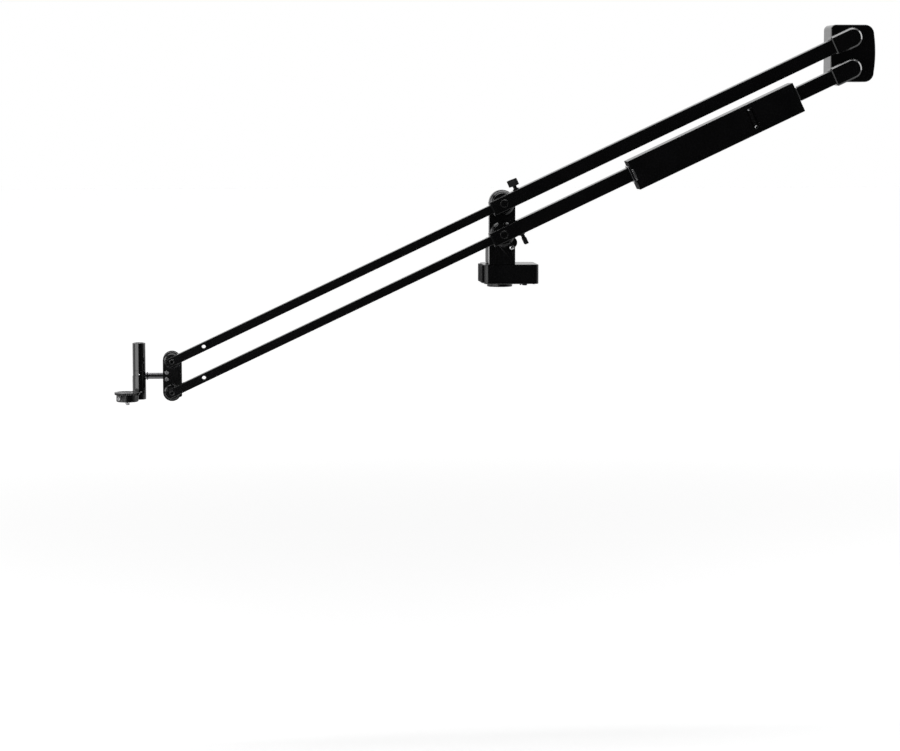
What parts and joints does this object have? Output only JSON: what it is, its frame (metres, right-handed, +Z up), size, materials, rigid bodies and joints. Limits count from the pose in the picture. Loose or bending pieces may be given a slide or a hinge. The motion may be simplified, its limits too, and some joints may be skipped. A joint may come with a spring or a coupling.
{
  "type": "camera jib crane",
  "caption": "Twin-boom camera jib crane with telescoping front booms, pan and tilt post, levelled camera bracket and sliding counterweight.",
  "frame": {"origin": "centre of the foot's underside, on the pan axis", "axes": "+Z up along the pan axis; +X along the booms towards the counterweight; the booms run on the -Y side of the post"},
  "size_m": [1.6054, 0.1525, 0.7896],
  "materials": {
    "tube_black": "gloss black anodised",
    "housing_black": "satin black",
    "plastic_black": "fine matt black",
    "dark_steel": "dark turned steel",
    "bright_steel": "bright steel",
    "bronze": "plain bronze",
    "board_green": "circuit board",
    "weight_iron": "raw cast"
  },
  "bodies": {
    "foot": {"foot": "housing_black", "pan_fixed_gear": "dark_steel", "spindle_nut": "dark_steel"},
    "turret": {"base_housing": "housing_black", "base_bottom_plate": "housing_black", "pan_lower_bearing": "bright_steel", "pan_upper_bearing": "bright_steel", "pan_motor": "dark_steel", "control_board": "board_green", "column_plate": "housing_black", "column_case": "housing_black", "column_case_cover": "plastic_black", "lower_pivot_bearing": "bright_steel", "upper_pivot_bearing": "bright_steel", "tilt_motor": "dark_steel", "brake_clamp_screw": "bright_steel"},
    "pan_pinion": {"pan_pinion": "bronze"},
    "battery": {"battery_pack": "plastic_black"},
    "pan_lock": {"pan_lock_lever": "plastic_black"},
    "tilt_pinion": {"tilt_pinion": "bronze"},
    "brake_wheel": {"tilt_brake_wheel": "plastic_black"},
    "lower_boom": {"lower_rear_tube": "tube_black", "lower_mouth_bush": "plastic_black", "lower_pivot_axle": "dark_steel", "lower_rear_sleeve": "tube_black", "lower_rear_axle": "dark_steel", "tilt_gear": "dark_steel"},
    "upper_boom": {"upper_rear_tube": "tube_black", "upper_mouth_bush": "plastic_black", "upper_pivot_axle": "dark_steel", "upper_rear_sleeve": "tube_black", "upper_rear_axle": "dark_steel"},
    "lower_front": {"lower_front_tube": "tube_black", "lower_guide_shoe": "plastic_black", "lower_front_axle": "dark_steel"},
    "upper_front": {"upper_front_tube": "tube_black", "upper_guide_shoe": "plastic_black", "upper_front_axle": "dark_steel"},
    "front_bracket": {"front_near_plate": "housing_black", "front_back_plate": "housing_black", "rod_clamp_block": "housing_black", "lower_front_bearing": "bright_steel", "upper_front_bearing": "bright_steel"},
    "head_mast": {"mast_rod": "dark_steel", "mast_lower": "housing_black", "mast_upper": "housing_black", "head_arm": "housing_black"},
    "thumb_screw": {"thumb_screw": "housing_black"},
    "rear_bracket": {"rear_housing": "tube_black", "rear_cover": "plastic_black", "lower_rear_bearing": "bright_steel", "upper_rear_bearing": "bright_steel"},
    "lower_lock": {"lower_lock_screw": "plastic_black"},
    "upper_lock": {"upper_lock_screw": "plastic_black"},
    "counterweight": {"weight_long_case": "housing_black", "weight_short_case": "housing_black", "long_weight": "weight_iron", "short_weight": "weight_iron", "weight_collar": "dark_steel"},
    "clamp_lever": {"weight_clamp_lever": "dark_steel"}
  },
  "joints": [
    {"name": "pan", "type": "hinge", "parent": "foot", "child": "turret", "pos_m": [0, 0, 0], "axis": [0, 0, 1], "continuous": true},
    {"name": "pan_drive", "type": "hinge", "parent": "turret", "child": "pan_pinion", "pos_m": [0.027, 0, 0.02], "axis": [0, 0, 1], "continuous": true},
    {"name": "boom_tilt", "type": "hinge", "parent": "turret", "child": "lower_boom", "pos_m": [0, -0.076, 0.1137], "axis": [0, 1, 0], "range_deg": [-16.8, 67.2]},
    {"name": "upper_boom_tilt", "type": "hinge", "parent": "turret", "child": "upper_boom", "pos_m": [0, -0.076, 0.1787], "axis": [0, 1, 0], "range_deg": [-16.8, 67.2]},
    {"name": "tilt_drive", "type": "hinge", "parent": "turret", "child": "tilt_pinion", "pos_m": [0, -0.028, 0.0857], "axis": [0, 1, 0], "range_deg": [-168.5, 42.5]},
    {"name": "front_level", "type": "hinge", "parent": "lower_front", "child": "front_bracket", "pos_m": [-0.694, -0.076, -0.21287], "axis": [0, 1, 0], "range_deg": [-67.2, 16.8]},
    {"name": "rear_level", "type": "hinge", "parent": "lower_boom", "child": "rear_bracket", "pos_m": [0.73472, -0.076, 0.45943], "axis": [0, 1, 0], "range_deg": [-67.2, 16.8]},
    {"name": "boom_reach", "type": "slide", "parent": "lower_boom", "child": "lower_front", "axis": [0.9048, 0, 0.4258], "range_m": [0, 0.64]},
    {"name": "upper_reach", "type": "slide", "parent": "upper_boom", "child": "upper_front", "axis": [0.9048, 0, 0.4258], "range_m": [0, 0.64]},
    {"name": "mast_roll", "type": "hinge", "parent": "front_bracket", "child": "head_mast", "pos_m": [-0.694, -0.0427, -0.18037], "axis": [1, 0, 0], "range_deg": [-45, 45]},
    {"name": "thumb_screw_turn", "type": "hinge", "parent": "head_mast", "child": "thumb_screw", "pos_m": [-0.7867, -0.076, -0.21287], "axis": [0, 0, 1], "continuous": true},
    {"name": "weight_slide", "type": "slide", "parent": "lower_boom", "child": "counterweight", "axis": [0.9048, 0, 0.4258], "range_m": [-0.14, 0.045]},
    {"name": "weight_lever", "type": "hinge", "parent": "counterweight", "child": "clamp_lever", "pos_m": [0.51236, -0.0985, 0.37535], "axis": [-0.9048, 0, -0.4258], "range_deg": [0, 90]},
    {"name": "lower_lock_turn", "type": "hinge", "parent": "lower_boom", "child": "lower_lock", "pos_m": [0.03212, -0.076, 0.12882], "axis": [0.4258, 0, -0.9048], "range_deg": [0, 180]},
    {"name": "upper_lock_turn", "type": "hinge", "parent": "upper_boom", "child": "upper_lock", "pos_m": [0.03212, -0.076, 0.19381], "axis": [-0.4258, 0, 0.9048], "range_deg": [0, 180]},
    {"name": "brake_wheel_turn", "type": "hinge", "parent": "turret", "child": "brake_wheel", "pos_m": [0.0205, -0.04, 0.095], "axis": [0, 1, 0], "range_deg": [-120, 120]},
    {"name": "pan_lock_swing", "type": "hinge", "parent": "turret", "child": "pan_lock", "pos_m": [0.0485, -0.025, 0.006], "axis": [0, 0, 1], "range_deg": [0, 35]},
    {"name": "battery_slide", "type": "slide", "parent": "turret", "child": "battery", "axis": [-1, 0, 0], "range_m": [0, 0.03]}
  ],
  "couplings": [
    {"joint": "pan_drive", "follows": "pan", "ratio": 2},
    {"joint": "upper_boom_tilt", "follows": "boom_tilt", "ratio": 1},
    {"joint": "tilt_drive", "follows": "boom_tilt", "ratio": -2.5},
    {"joint": "front_level", "follows": "boom_tilt", "ratio": -1},
    {"joint": "rear_level", "follows": "boom_tilt", "ratio": -1},
    {"joint": "upper_reach", "follows": "boom_reach", "ratio": 1}
  ]
}
